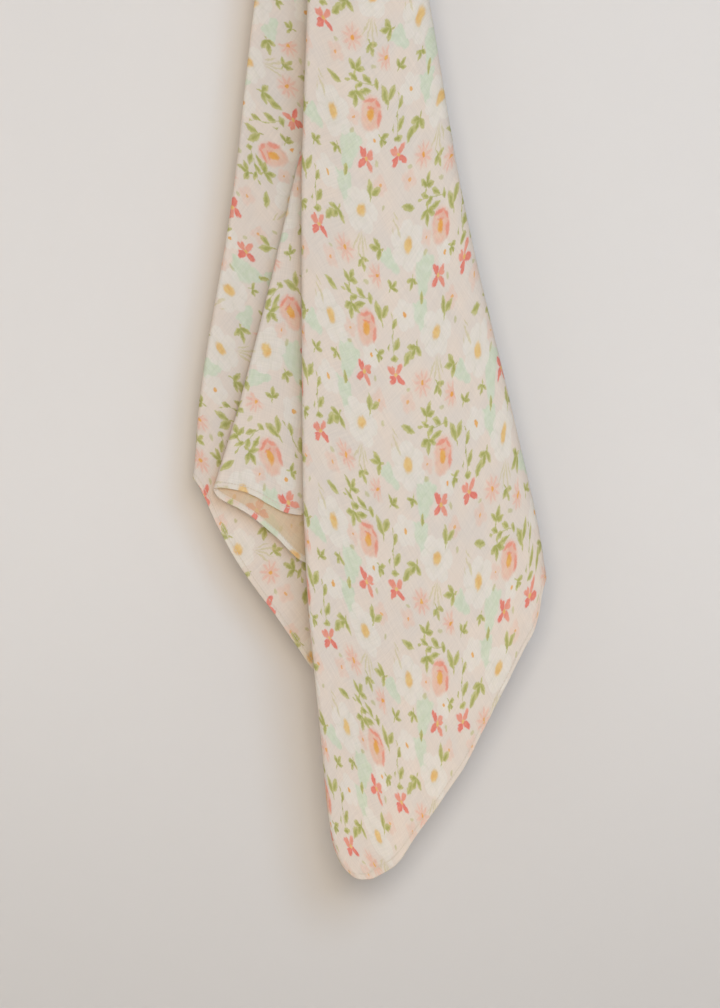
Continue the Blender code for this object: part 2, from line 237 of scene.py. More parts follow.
MOTIFS = (
    Motif("mint patch",
          (Spot(35.0, 86.0, -12.0, 1.05), Spot(32.5, 60.0, 14.0, 0.84), Spot(4.0, 92.0, 50.0, 0.70)),
          (Layer("mint", 0.85, 0.16, False,
                 (Mark(0.0, 3.0, 90.0, 9.5, 7.6), Mark(0.6, -5.0, 90.0, 8.0, 5.0),
                  Mark(-4.6, 7.0, 120.0, 6.0, 3.6), Mark(4.8, 6.5, 60.0, 6.0, 3.4))),)),
    Motif("open bloom",
          (Spot(20.0, 104.0, 8.0, 1.0), Spot(47.0, 50.0, -25.0, 0.95)),
          (Layer("bloom white", 0.85, 0.10, False,
                 (Mark(0.4, 8.8, 90.0, 7.0, 6.8), Mark(8.4, 5.0, 30.0, 6.6, 6.4),
                  Mark(8.2, -5.0, -30.0, 6.8, 6.2), Mark(-0.6, -9.0, -90.0, 7.0, 7.2),
                  Mark(-8.2, -5.0, 210.0, 6.8, 6.2), Mark(-8.6, 4.6, 150.0, 6.6, 6.8),
                  Mark(0.0, 0.0, 0.0, 9.6, 9.6))),
           Layer("bloom shade", 0.22, 0.70, False,
                 (Mark(0.0, -0.6, 0.0, 5.0, 6.2), Mark(5.0, 9.0, 60.0, 4.0, 0.7),
                  Mark(-4.8, -9.4, 62.0, 4.0, 0.7), Mark(-9.6, -0.2, 0.0, 4.0, 0.7))),
           Layer("yellow centre", 0.92, 0.40, False, (Mark(0.2, 0.2, 78.0, 4.6, 3.4),)))),
    Motif("small bloom",
          (Spot(17.0, 61.0, 40.0, 1.0), Spot(57.0, 97.0, 10.0, 0.80)),
          (Layer("bloom white", 0.80, 0.16, False, ring(5, 5.0, 5.4, 4.8)),
           Layer("orange centre", 0.90, 0.30, False, (Mark(0.0, 0.0, 80.0, 1.8, 1.5),)))),
    Motif("pale blossom",
          (Spot(64.0, 70.0, 0.0, 1.0), Spot(20.0, 6.0, 70.0, 1.0), Spot(38.0, 108.0, 30.0, 0.8)),
          (Layer("faint pink", 0.50, 0.50, False, ring(4, 3.0, 3.8, 3.0)),
           Layer("orange centre", 0.75, 0.30, False, (Mark(0.0, 0.0, 0.0, 1.3, 1.0),)))),
    Motif("feathery blossom",
          (Spot(33.0, 20.0, 15.0, 1.0), Spot(62.0, 12.0, -40.0, 0.90)),
          (Layer("faint pink", 0.45, 0.75, False, (Mark(0.0, 0.0, 0.0, 6.6, 6.0),)),
           Layer("salmon", 0.55, 0.70, False, ring(9, 4.0, 3.6, 0.85)),
           Layer("orange centre", 0.95, 0.30, False, (Mark(0.1, 0.1, 75.0, 1.7, 1.2),)))),
    Motif("ranunculus",
          (Spot(53.0, 114.0, 0.0, 1.0),),
          (Layer("salmon", 0.80, 0.30, False,
                 (Mark(0.0, 0.6, 90.0, 10.0, 8.2), Mark(-1.4, -3.8, 80.0, 7.6, 6.4))),
           Layer("pale salmon", 0.55, 0.75, False,
                 (Mark(-1.2, -6.0, 10.0, 5.6, 3.6), Mark(-4.4, 1.0, 84.0, 5.4, 2.2))),
           Layer("coral", 0.80, 0.50, False,
                 (Mark(-1.6, 8.2, 18.0, 5.0, 1.2), Mark(5.0, 6.8, -48.0, 2.8, 1.1),
                  Mark(6.8, -2.6, 84.0, 4.6, 1.5), Mark(-0.6, 3.6, 6.0, 2.8, 0.8))),
           Layer("orange centre", 0.95, 0.35, False, (Mark(-0.6, -0.6, 84.0, 4.2, 2.7),)))),
    Motif("coral blossom",
          (Spot(50.0, 84.0, 10.0, 0.87), Spot(9.0, 21.0, 118.0, 0.87)),
          (Layer("coral", 0.90, 0.24, False,
                 (Mark(4.3, 3.2, 40.0, 4.2, 2.4), Mark(3.0, -4.8, -62.0, 4.8, 2.3),
                  Mark(5.2, 0.8, 8.0, 2.8, 1.4))),
           Layer("deep coral", 0.90, 0.24, False,
                 (Mark(-2.4, 4.8, 112.0, 4.4, 2.4), Mark(-4.4, -3.0, 218.0, 4.8, 2.4),
                  Mark(-0.4, 4.4, 78.0, 3.2, 1.4))),
           Layer("coral", 0.60, 0.60, False,
                 (Mark(-2.6, 5.6, 104.0, 3.0, 0.5), Mark(-5.2, -3.0, 210.0, 3.0, 0.5))),
           Layer("yellow centre", 1.0, 0.28, False, (Mark(0.3, 0.0, 60.0, 1.8, 1.4),)))),
    Motif("sprig",
          (Spot(6.0, 42.0, 6.0, 0.95), Spot(46.0, 131.5, 96.0, 0.86)),
          (Layer("pale leaf", 0.80, 0.50, False,
                 (Mark(0.2, -4.0, 93.0, 8.0, 0.45), Mark(0.8, 8.0, 86.0, 7.0, 0.42))),
           Layer("leaf", 0.85, 0.26, True,
                 (Mark(-6.0, 0.6, 106.0, 7.6, 2.4), Mark(3.8, -1.6, 60.0, 5.6, 2.7),
                  Mark(-2.0, 6.6, 114.0, 4.6, 2.3), Mark(3.2, 11.8, 64.0, 4.6, 2.2),
                  Mark(0.8, -11.4, 10.0, 4.2, 2.4), Mark(0.6, 17.2, 98.0, 2.4, 1.2))),
           Layer("dark leaf", 0.75, 0.60, True,
                 (Mark(-5.6, -0.4, 106.0, 5.0, 1.1), Mark(3.4, -2.4, 60.0, 3.8, 1.3),
                  Mark(-1.5, 5.6, 114.0, 3.0, 1.1), Mark(2.8, 10.8, 64.0, 2.8, 1.0),
                  Mark(0.2, -11.6, 10.0, 2.4, 1.1))))),
    Motif("leaf fan",
          (Spot(39.0, 121.5, 10.0, 1.0), Spot(26.0, 40.0, -20.0, 1.0), Spot(65.0, 99.0, 60.0, 0.75),
           Spot(6.0, 77.0, 150.0, 0.75), Spot(62.0, 29.0, -75.0, 1.0), Spot(38.0, 3.0, 170.0, 0.95),
           Spot(24.0, 82.0, -8.0, 0.70), Spot(49.0, 17.0, 35.0, 0.80)),
          (Layer("leaf", 0.85, 0.30, True,
                 (Mark(-3.4, 0.6, 30.0, 4.6, 2.2), Mark(3.5, 0.8, 150.0, 4.6, 2.2),
                  Mark(-0.8, -2.6, 80.0, 5.0, 2.1), Mark(0.4, 5.0, 96.0, 3.0, 0.8))),
           Layer("dark leaf", 0.75, 0.60, True,
                 (Mark(-2.4, 1.2, 30.0, 3.2, 1.1), Mark(2.4, 1.4, 150.0, 3.2, 1.1),
                  Mark(-0.5, -1.4, 80.0, 3.4, 1.1))))),
    Motif("lance leaf",
          (Spot(20.0, 127.0, 104.0, 0.85), Spot(33.0, 72.0, 20.0, 0.60), Spot(19.0, 34.0, -8.0, 0.85)),
          (Layer("leaf", 0.85, 0.26, True, (Mark(0.0, 0.0, 68.0, 7.6, 3.1),)),
           Layer("dark leaf", 0.70, 0.60, True, (Mark(0.3, -0.6, 68.0, 5.0, 1.4),)))),
    Motif("leaf pair",
          (Spot(66.0, 127.0, 4.0, 0.95), Spot(57.0, 65.0, -16.0, 0.85)),
          (Layer("leaf", 0.85, 0.26, True,
                 (Mark(-2.8, 0.4, 112.0, 7.4, 3.0), Mark(3.6, 1.4, 60.0, 6.2, 2.8),
                  Mark(0.4, -6.6, 88.0, 3.4, 0.7))),
           Layer("dark leaf", 0.70, 0.60, True,
                 (Mark(-2.4, -0.6, 112.0, 5.0, 1.3), Mark(3.2, 0.6, 60.0, 4.2, 1.2))))),
    Motif("grass",
          (Spot(47.0, 28.0, 0.0, 1.0), Spot(4.0, 119.0, 30.0, 1.0)),
          (Layer("straw", 0.60, 0.70, False,
                 (Mark(-3.8, 0.6, 64.0, 5.4, 0.6), Mark(-0.8, -0.4, 78.0, 6.4, 0.6),
                  Mark(2.2, -1.6, 96.0, 5.8, 0.6), Mark(4.6, 1.6, 108.0, 4.0, 0.5),
                  Mark(3.0, -9.0, 84.0, 3.4, 0.9))),)),
    Motif("dab",
          (Spot(37.0, 99.0, 40.0, 1.0), Spot(60.0, 83.0, 100.0, 0.9), Spot(20.0, 14.0, 20.0, 0.8),
           Spot(67.0, 56.0, 70.0, 0.8), Spot(52.0, 5.0, 10.0, 1.0)),
          (Layer("pale leaf", 0.65, 0.50, False, (Mark(0.0, 0.0, 0.0, 2.1, 1.3),)),)),
)

# Each paint is mixed between two colours, as a wet brush leaves it.
Paint = namedtuple("Paint", "light deep")
PAINTS = {
    "mint": Paint("E7F2DF", "DCEBD0"),
    "bloom white": Paint("F7F5ED", "F4F2E7"),
    "bloom shade": Paint("E3E1D0", "DFDFCC"),
    "yellow centre": Paint("F7DB92", "F3C877"),
    "faint pink": Paint("F7DFCE", "F7D5C0"),
    "salmon": Paint("F7CFB8", "F7BEA6"),
    "pale salmon": Paint("F7E5D0", "F7DCC4"),
    "coral": Paint("F7AE97", "F79B84"),
    "deep coral": Paint("F7917C", "F3796B"),
    "orange centre": Paint("F7CA70", "F7B456"),
    "leaf": Paint("D6D68E", "C7C677"),
    "dark leaf": Paint("B9BD68", "AAB158"),
    "pale leaf": Paint("D8D79B", "CACA89"),
    "straw": Paint("E3DBAA", "DCD59B"),
}
GROUND = Paint("F5ECDF", "F0EAE0")
# The wrong side's tan is partly the unprinted cotton's own colour and partly painted shade, darker and
# warmer for the folds it shows in.
WRONG_SIDE_GROUND_AND_SHADE = "E0C9A2"
WRONG_SIDE_SHOW = 0.28             # how much of the print shows through to the wrong side
BRUSH_WIDTH = 6.0                  # millimetres across the sways of the marks' edges
BRUSH_WANDER = 0.9                 # and how far they sway
BRISTLE_WIDTH = 1.5                # the same for the bristles' traces
BRISTLE_WANDER = 0.55
WETNESS_WIDTH = 4.5                # millimetres across a pool of wetter paint
WETNESS_RANGE = (0.32, 0.68)       # the noise values between its two colours
CLOUD_WIDTH = 30.0                 # and the same for the clouds of the ground
CLOUD_RANGE = (0.35, 0.65)

NOISE_SPREAD = 3.0                 # a noise keeps to the middle third of its range

# The muslin's surface.
SEE_THROUGH = 0.35                 # how much of the light that lands on it goes on through
THROUGH_TINT = "FFEED4"            # and how that warms it
THIN_ROUGHNESS = 0.96              # over the thin yarns
THICK_ROUGHNESS = 0.84
SHINE = 0.2
FUZZ = 0.25
FUZZ_ROUGHNESS = 0.45

# The yarns, in millimetres. Muslin's are half a millimetre apart, too fine for the render, so
# the weave is drawn three times as coarse and only its thick and thin yarns at their real length.
YARN_PITCH = 1.5
YARN_HEIGHT = 0.03
SLUB_WIDTH = 0.9
SLUB_LENGTH = 24.0
SLUB_HEIGHT = 0.10
SLUB_SHADE = 0.035                 # how much darker and lighter they are
SLUB_RANGE = (0.65, 1.35)
CRINKLE_WIDTH = 9.0
CRINKLE_HEIGHT = 0.55

# The rolled hem, in millimetres: its line of stitches and the puckers that they pull.
HEM_BAND = MILLIMETRES * HEM_WIDTH
HEM_BLUR = 0.3                     # how soft the band's inner edge is, each way
HEM_PALENESS_AND_HIGHLIGHT = 0.10                # how much paler the hem band is: partly its double cloth, partly a painted highlight along its rolled edge
HEM_STITCH_INSET = 3.7
STITCH_WIDTH = 0.5
STITCH_LENGTH = 2.6
STITCH_SHARE = 0.68                # how much of that length shows, before the thread dips under
THREAD = "EBE3D2"
THREAD_HEIGHT = 0.2
PUCKER_WIDTH = 2.2
PUCKER_HEIGHT = 0.45
PUCKER_REACH = 11.0

# How finely the sheet is divided.
TURN_COLUMNS = 4                   # columns in each half of a close turn
WRAP_COLUMNS = 10                  # and in each half of a wide one
CROWN_ROWS = 8
CROWN_SHARE = 0.055                # share of the way to the hem that the crown's rows take up
HANGING_ROWS = 58
ROW_EASE = 1.2                     # over 1 sets the rows closer together towards the crown
HEM_ROWS = (0.0150, 0.0100, 0.0062, 0.0042, 0.0034, 0.0018, 0.0006, 0.0)   # metres in from the edge
HEM_CUTS = 2                       # times each column is divided again along the hem
FIRST_RING = 0.0015                # radius of the hole that closes as the crown's pole
CROWN_MERGE = 0.0006


def eased(share):
    """0 to 1 with a level start and end."""
    share = min(max(share, 0.0), 1.0)
    return share * share * (3.0 - 2.0 * share)


def slopes_through(places, values):
    """The slope at each point of a smooth curve that never overshoots its points."""
    rises = [(values[i + 1] - values[i]) / (places[i + 1] - places[i]) for i in range(len(values) - 1)]
    slopes = [rises[0]]
    for before, after in zip(rises, rises[1:]):
        slopes.append(0.0 if before * after <= 0.0 else 2.0 * before * after / (before + after))
    return slopes + [rises[-1]]


def curve_value(places, values, slopes, place):
    """The value at one place on that curve, held level outside its ends."""
    place = min(max(place, places[0]), places[-1])
    i = max(k for k in range(len(places) - 1) if places[k] <= place)
    span = places[i + 1] - places[i]
    t = (place - places[i]) / span
    return ((1.0 + 2.0 * t) * (1.0 - t) ** 2 * values[i]
            + t * (1.0 - t) ** 2 * span * slopes[i]
            + t * t * (3.0 - 2.0 * t) * values[i + 1]
            + t * t * (t - 1.0) * span * slopes[i + 1])


def flat_reach(bearing):
    """Distance from the middle of the flat cloth to its hem, with the corners rounded."""
    off_corner = math.radians(abs((bearing + 45.0) % 90.0 - 45.0))
    half = CLOTH_SIDE / 2.0
    arc_starts = math.pi / 4.0 - math.atan((half - CORNER_RADIUS) / half)
    if off_corner >= arc_starts:
        return half / math.cos(math.pi / 4.0 - off_corner)
    centre = (half - CORNER_RADIUS) * math.sqrt(2.0)
    across = centre * math.sin(off_corner)
    return centre * math.cos(off_corner) + math.sqrt(CORNER_RADIUS ** 2 - across ** 2)


HEM_BEARINGS = [HEM[-1].bearing - 360.0] + [row.bearing for row in HEM] + [HEM[0].bearing + 360.0]
HEM_STRETCHES = [HEM[-1].stretch] + [row.stretch for row in HEM] + [HEM[0].stretch]
HEM_SLOPES = slopes_through(HEM_BEARINGS, HEM_STRETCHES)
ACROSS_SLOPES = {fold.name: slopes_through(DEPTHS, fold.across) for fold in FOLDS}


def hem_depth(bearing):
    """Depth of the hem under the crown on one bearing."""
    return flat_reach(bearing) * curve_value(HEM_BEARINGS, HEM_STRETCHES, HEM_SLOPES, bearing % 360.0)


def fold_across(fold, depth):
    return curve_value(DEPTHS, fold.across, ACROSS_SLOPES[fold.name], depth)


def gathering(depth):
    """0 on the crown, 1 where the folds are as deep as the tables say."""
    return eased((depth - CROWN_HEIGHT) / (GATHERED_BY - CROWN_HEIGHT))


def panel_slants(before, after, depth):
    """The leaves a panel starts and ends on: it slants from one fold back, or forwards, to the next."""
    backwards = before.leaf_out > before.leaf_in and after.leaf_out > after.leaf_in
    forwards = before.leaf_out < before.leaf_in and after.leaf_out < after.leaf_in
    slant = LOWER_SLANT + (CROWN_SLANT - LOWER_SLANT) * (1.0 - gathering(depth))
    half = (backwards - forwards) * slant / 2.0
    return before.leaf_out - half, before.leaf_out + half


def leaf_y(leaf, depth):
    """How far back a leaf lies, before its bow and flutes."""
    spread = eased(depth / LEAVES_SPREAD_BY)
    gap = LEAF_GAP_TOP + (LEAF_GAP_BELOW - LEAF_GAP_TOP) * spread
    return (leaf - BACK_LEAF / 2.0) * gap


def soft_y(x, leaf, depth):
    """The bow of the front leaves and the flutes of the rear ones."""
    left = fold_across(FOLDS[0], depth)
    right = fold_across(FOLDS[-1], depth)
    along = min(max((x - left) / (right - left), 0.0), 1.0)
    bow = FRONT_BOW * max(0.0, 1.0 - leaf / BOWED_LEAVES) * math.sin(math.pi * along)
    width = FLUTE_WIDTH * (FLUTE_TOP_SHARE + (1.0 - FLUTE_TOP_SHARE) * eased(depth / LEAVES_SPREAD_BY))
    flutes = math.sin(2.0 * math.pi * (x - FLUTE_START_X) / width)
    return FLUTE_DEPTH * width / FLUTE_WIDTH * leaf / BACK_LEAF * flutes - bow


def turn_point(fold, angle, depth):
    """A point of the turn at a fold: angle runs from -90 to 90 degrees, 0 at its tip.

    It is given as x, y on the plain leaves, and what their soft shape adds to y.
    """
    place = FOLDS.index(fold)
    if angle > 0.0:
        leaf = panel_slants(fold, FOLDS[(place + 1) % len(FOLDS)], depth)[0]
    else:
        leaf = panel_slants(FOLDS[place - 1], fold, depth)[1]
    width = fold.round or abs(leaf_y(fold.leaf_out, depth) - leaf_y(fold.leaf_in, depth)) / 2.0
    x = fold_across(fold, depth) - fold.side * width * (1.0 - math.cos(angle))
    leaf = fold.leaf_tip + (leaf - fold.leaf_tip) * abs(math.sin(angle))
    return x, leaf_y(leaf, depth), soft_y(x, leaf, depth)


def panel_point(before, after, share, depth):
    """A point of the panel between two folds, share of the way across it, given as turn_point does."""
    start = turn_point(before, math.pi / 2.0, depth)[0]
    end = turn_point(after, -math.pi / 2.0, depth)[0]
    x = start + (end - start) * share
    first, last = panel_slants(before, after, depth)
    leaf = first + (last - first) * share
    return x, leaf_y(leaf, depth), soft_y(x, leaf, depth)


def line_point(stretch, where, depth):
    """A point of the folded line on one of its stretches."""
    if stretch.after:
        return panel_point(stretch.fold, stretch.after, where, depth)
    return turn_point(stretch.fold, where, depth)


# A stretch of the folded line, between two bearings: half of a fold's turn, over which where is
# an angle, or, if after is given, the panel from a fold to the next, over which it is a share.
Stretch = namedtuple("Stretch", "fold after first last columns")
Bearings = namedtuple("Bearings", "start end")


def line_stretches():
    """The stretches in order round the cloth, starting at the tip of the first fold."""
    stretches = []
    for fold, after in zip(FOLDS, FOLDS[1:] + FOLDS[:1]):
        leaving = WRAP_COLUMNS if fold.round else TURN_COLUMNS
        reaching = WRAP_COLUMNS if after.round else TURN_COLUMNS
        stretches += [Stretch(fold, None, 0.0, math.pi / 2.0, leaving),
                      Stretch(fold, after, 0.0, 1.0, fold.columns),
                      Stretch(after, None, -math.pi / 2.0, 0.0, reaching)]
    return stretches


def lengths_along(stretch):
    """Length of a stretch up to each of its columns, where the leaves are fully spread."""
    lengths = [0.0]
    last_point = None
    for step in range(stretch.columns + 1):
        where = stretch.first + (stretch.last - stretch.first) * step / stretch.columns
        x, y, soft = line_point(stretch, where, LEAVES_SPREAD_BY)
        if last_point:
            lengths.append(lengths[-1] + math.dist(last_point, (x, y + soft)))
        last_point = (x, y + soft)
    return lengths


STRETCHES = line_stretches()
STRETCH_LENGTHS = [lengths_along(stretch) for stretch in STRETCHES]


def stretch_bearings():
    """Each stretch's bearings, shared out between the tips of its two folds by length."""
    bearings = []
    for first in range(0, len(STRETCHES), 3):
        tip = STRETCHES[first].fold.bearing
        degrees = (STRETCHES[first + 2].fold.bearing - tip) % 360.0
        lengths = [STRETCH_LENGTHS[place][-1] for place in range(first, first + 3)]
        for length in lengths:
            width = degrees * length / sum(lengths)
            bearings.append(Bearings(tip, tip + width))
            tip += width
    return bearings


STRETCH_BEARINGS = stretch_bearings()


def where_along(place, share):
    """Where on a stretch the cloth is that lies a share of its length along it."""
    lengths = STRETCH_LENGTHS[place]
    length = share * lengths[-1]
    step = max(i for i in range(len(lengths) - 1) if lengths[i] <= length)
    steps = step + (length - lengths[step]) / (lengths[step + 1] - lengths[step])
    stretch = STRETCHES[place]
    return stretch.first + (stretch.last - stretch.first) * steps / stretch.columns


def crease_depth(place):
    """How deep the soft creases are at a place on the flat cloth."""
    total = 0.0
    for crease in CREASES:
        start = Vector((crease.x0, crease.y0, 0.0))
        span = Vector((crease.x1, crease.y1, 0.0)) - start
        along = min(max((place - start).dot(span) / span.dot(span), 0.0), 1.0)
        off = (place - start - along * span).length / crease.width
        total += crease.depth * math.exp(-off * off)
    return total


def small_shape(bearing, share, depth):
    """How far back the swell, gathers, creases and hem waves take one point of the cloth."""
    place = flat_place(bearing, flat_reach(bearing) * share)
    inset = (1.0 - share) * CLOTH_SIDE / 2.0
    swell = SWELL_HEIGHT * noise.noise(place / SWELL_WIDTH)
    round_crown = flat_place(bearing, math.degrees(1.0) / GATHER_DEGREES)
    gathered = 1.0 - eased((depth - GATHERED_BY / 2.0) / (GATHERS_END - GATHERED_BY / 2.0))
    gathers = GATHER_HEIGHT * gathered * noise.noise(round_crown)
    waving = 1.0 - eased(inset / HEM_WAVE_REACH)
    wave = HEM_WAVE_HEIGHT * waving * noise.noise(place / HEM_WAVE_WIDTH)
    rippled = 1.0 - eased(inset / HEM_RIPPLE_REACH)
    ripple = HEM_RIPPLE_HEIGHT * rippled * noise.noise(place / HEM_RIPPLE_WIDTH)
    return swell + gathers + wave + ripple + crease_depth(place)


def cloth_point(bearing, share):
    """Where the cloth hangs: share of the way from its middle to its hem on one bearing."""
    first = STRETCH_BEARINGS[0].start
    bearing = (bearing - first) % 360.0 + first
    place = max(i for i, between in enumerate(STRETCH_BEARINGS) if between.start <= bearing)
    stretch = STRETCHES[place]
    between = STRETCH_BEARINGS[place]
    where = where_along(place, (bearing - between.start) / (between.end - between.start))
    reach = flat_reach(bearing)
    crown_reach = math.pi / 2.0 * (CROWN_HALF_WIDTH + CROWN_HEIGHT) / 2.0
    run = reach * share
    angle = math.pi / 2.0 * min(run / crown_reach, 1.0)
    below = max(run - crown_reach, 0.0) / (reach - crown_reach)
    depth = CROWN_HEIGHT * (1.0 - math.cos(angle)) + (hem_depth(bearing) - CROWN_HEIGHT) * below
    way_round = math.radians(bearing) + CROWN_TURN
    crown_x = -CROWN_HALF_WIDTH * math.sin(way_round) * math.sin(angle)
    crown_y = -CROWN_HALF_DEPTH * math.cos(way_round) * math.sin(angle)
    stacked = eased((depth - CROWN_HEIGHT) / (STACKED_BY - CROWN_HEIGHT))
    gathered = gathering(depth)
    x, y, soft = line_point(stretch, where, depth)
    soft += small_shape(bearing, share, depth)
    return Vector((crown_x + (x - crown_x) * gathered,
                   crown_y + (y - crown_y) * stacked + soft * gathered,
                   -depth))


def flat_place(bearing, reach):
    """A place on the flat cloth, seen from its printed side with the lowest corner at the bottom."""
    way_round = math.radians(bearing)
    return Vector((-reach * math.sin(way_round), -reach * math.cos(way_round), 0.0))


def column_bearings():
    """The bearing of each column of the mesh, close together round the turns."""
    bearings = []
    for lengths, between in zip(STRETCH_LENGTHS, STRETCH_BEARINGS):
        for length in lengths[:-1]:
            bearings.append(between.start + (between.end - between.start) * length / lengths[-1])
    return bearings


def row_shares():
    """The rows of the mesh below the first ring, as shares of the way from the middle to the hem."""
    half = CLOTH_SIDE / 2.0
    crown = [CROWN_SHARE * (row + 1) / CROWN_ROWS for row in range(CROWN_ROWS)]
    hem_starts = 1.0 - HEM_ROWS[0] / half
    hanging = [CROWN_SHARE + (hem_starts - CROWN_SHARE) * ((row + 1) / (HANGING_ROWS + 1)) ** ROW_EASE
               for row in range(HANGING_ROWS)]
    return crown + hanging + [1.0 - inset / half for inset in HEM_ROWS]


def cut_flat():
    """The flat square as a mesh of rings, printed side up, its columns divided again along the hem."""
    bearings = column_bearings()
    mesh = bmesh.new()
    column = mesh.verts.layers.int.new("column")
    bmesh.ops.create_circle(mesh, cap_ends=True, cap_tris=True, segments=len(bearings), radius=FIRST_RING)
    ring = [vert for vert in mesh.verts if vert.is_boundary]
    ring.sort(key=lambda vert: math.atan2(vert.co.x, vert.co.y))
    for place, vert in enumerate(ring):
        vert[column] = place
        vert.co = flat_place(bearings[place], FIRST_RING)
    edges = [edge for edge in mesh.edges if edge.is_boundary]
    hem_edges = []
    for share in row_shares():
        grown = bmesh.ops.extrude_edge_only(mesh, edges=edges)["geom"]
        for vert in grown:
            if isinstance(vert, bmesh.types.BMVert):
                bearing = bearings[vert[column]]
                vert.co = flat_place(bearing, flat_reach(bearing) * share)
        edges = [edge for edge in grown if isinstance(edge, bmesh.types.BMEdge) and edge.is_boundary]
        if share > 1.0 - HEM_ROWS[1] / (CLOTH_SIDE / 2.0) - 1e-6:
            hem_edges += edges
    bmesh.ops.subdivide_edges(mesh, edges=hem_edges, cuts=HEM_CUTS, use_grid_fill=True)
    mesh.normal_update()
    bmesh.ops.reverse_faces(mesh, faces=[face for face in mesh.faces if face.normal.z < 0.0])
    return mesh


def hang(mesh):
    """Moves every point of the flat cloth to where it hangs."""
    for vert in mesh.verts:
        reach = vert.co.to_2d().length
        if reach < FIRST_RING / 2.0:
            vert.co = (0.0, 0.0, 0.0)
            continue
        bearing = math.degrees(math.atan2(-vert.co.x, -vert.co.y))
        vert.co = cloth_point(bearing, min(reach / flat_reach(bearing), 1.0))


def lay_print(mesh):
    """Gives the flat cloth its map: each point's place on the flat square, in metres."""
    print_map = mesh.loops.layers.uv.new("print")
    for face in mesh.faces:
        for loop in face.loops:
            loop[print_map].uv = loop.vert.co.to_2d()


def weigh_hem(mesh):
    """Marks the hem, whose folded edge is thicker than the single cloth."""
    weights = mesh.verts.layers.deform.verify()
    for vert in mesh.verts:
        bearing = math.degrees(math.atan2(-vert.co.x, -vert.co.y))
        inset = (1.0 - vert.co.to_2d().length / flat_reach(bearing)) * CLOTH_SIDE / 2.0
        vert[weights][0] = 1.0 if inset < HEM_WIDTH - 1e-5 else 0.0


def colour(code):
    """A hex colour as Blender's linear one."""
    shares = [int(code[place:place + 2], 16) / 255.0 for place in (0, 2, 4)]
    return [share / 12.92 if share <= 0.04045 else ((share + 0.055) / 1.055) ** 2.4
            for share in shares] + [1.0]


def node(tree, kind, out=0, links=None, **settings):
    """Adds a node with its settings, joins or sets its inputs, and returns one of its outputs.

    A Mix node takes its two colours as 6 and 7 and gives output 2, two vectors as 4, 5 and 1.
    """
    made = tree.nodes.new("ShaderNode" + kind)
    for name, value in settings.items():
        setattr(made, name, value)
    for name, value in (links or {}).items():
        if isinstance(value, bpy.types.NodeSocket):
            tree.links.new(value, made.inputs[name])
        else:
            made.inputs[name].default_value = value
    return made.outputs[out]


def new_material(name):
    """A material, with its node tree and its Principled shader."""
    material = bpy.data.materials.new(name)
    material.use_nodes = True
    return material, material.node_tree, material.node_tree.nodes["Principled BSDF"]


def flat_millimetres(tree):
    """The place on the flat cloth, in millimetres."""
    flat = node(tree, "UVMap", uv_map="print")
    return node(tree, "VectorMath", operation="SCALE", links={"Vector": flat, "Scale": MILLIMETRES})


def brushed(tree, place):
    """That place pushed about, so that the marks' edges are a brush's and not a compass's."""
    for width, wander in ((BRUSH_WIDTH, BRUSH_WANDER), (BRISTLE_WIDTH, BRISTLE_WANDER)):
        push = node(tree, "TexNoise", out="Color",
                    links={"Vector": place, "Scale": 1.0 / width, "Detail": 1.0})
        push = node(tree, "VectorMath", operation="SUBTRACT", links={0: push, 1: (0.5, 0.5, 0.5)})
        wide = wander * NOISE_SPREAD
        push = node(tree, "VectorMath", operation="MULTIPLY", links={0: push, 1: (wide, wide, 0.0)})
        place = node(tree, "VectorMath", operation="ADD", links={0: place, 1: push})
    return place


def in_repeat(tree, place):
    """The place within its column of the half-drop repeat, as x, y and 1."""
    x = node(tree, "SeparateXYZ", out="X", links={0: place})
    y = node(tree, "SeparateXYZ", out="Y", links={0: place})
    turns = node(tree, "Math", operation="MULTIPLY",
                 links={0: y, 1: COLUMN_SWAYS * math.tau / REPEAT_HEIGHT})
    sway = node(tree, "Math", operation="SINE", links={0: turns})
    swayed = node(tree, "Math", operation="MULTIPLY_ADD", links={0: sway, 1: COLUMN_SWAY, 2: x})
    columns = node(tree, "Math", operation="DIVIDE", links={0: swayed, 1: REPEAT_WIDTH})
    column = node(tree, "Math", operation="FLOOR", links={0: columns})
    x = node(tree, "Math", operation="MULTIPLY_ADD", links={0: column, 1: -REPEAT_WIDTH, 2: x})
    y = node(tree, "Math", operation="MULTIPLY_ADD", links={0: column, 1: -REPEAT_HEIGHT / 2.0, 2: y})
    return node(tree, "CombineXYZ", links={"X": x, "Y": y, "Z": 1.0})


def own_place(tree, place, mark):
    """How far a place is along and across a mark, as shares of its half length and half width.

    The place is x, y and 1, so that one product with each row turns, moves and scales it.
    """
    turn = math.radians(mark.turn)
    along = Vector((math.cos(turn), math.sin(turn))) / mark.long
    across = Vector((-math.sin(turn), math.cos(turn))) / mark.wide
    middle = Vector((mark.x, mark.y))
    return [node(tree, "VectorMath", out="Value", operation="DOT_PRODUCT",
                 links={0: place, 1: (row.x, row.y, -row.dot(middle))})
            for row in (along, across)]


def nearest_spot(tree, place, spots):
    """The place measured from the nearest spot of a motif, in the motif's own turn and size."""
    far = 1000.0    # beyond the cloth's edges, so that x and z don't wrap
    nearest = None
    for spot in spots:
        wrapped = node(tree, "VectorMath", operation="WRAP",
                       links={0: place, 1: (far, spot.y + REPEAT_HEIGHT / 2.0, far),
                              2: (-far, spot.y - REPEAT_HEIGHT / 2.0, -far)})
        x, y = own_place(tree, wrapped, Mark(spot.x, spot.y, spot.turn, spot.size, spot.size))
        local = node(tree, "CombineXYZ", links={"X": x, "Y": y, "Z": 1.0})
        distance = node(tree, "VectorMath", out="Value", operation="LENGTH", links={0: local})
        if nearest is None:
            nearest, least = local, distance
            continue
        closer = node(tree, "Math", operation="LESS_THAN", links={0: distance, 1: least})
        nearest = node(tree, "Mix", out=1, data_type="VECTOR",
                       links={"Factor": closer, 4: nearest, 5: local})
        least = node(tree, "Math", operation="MINIMUM", links={0: distance, 1: least})
    return nearest


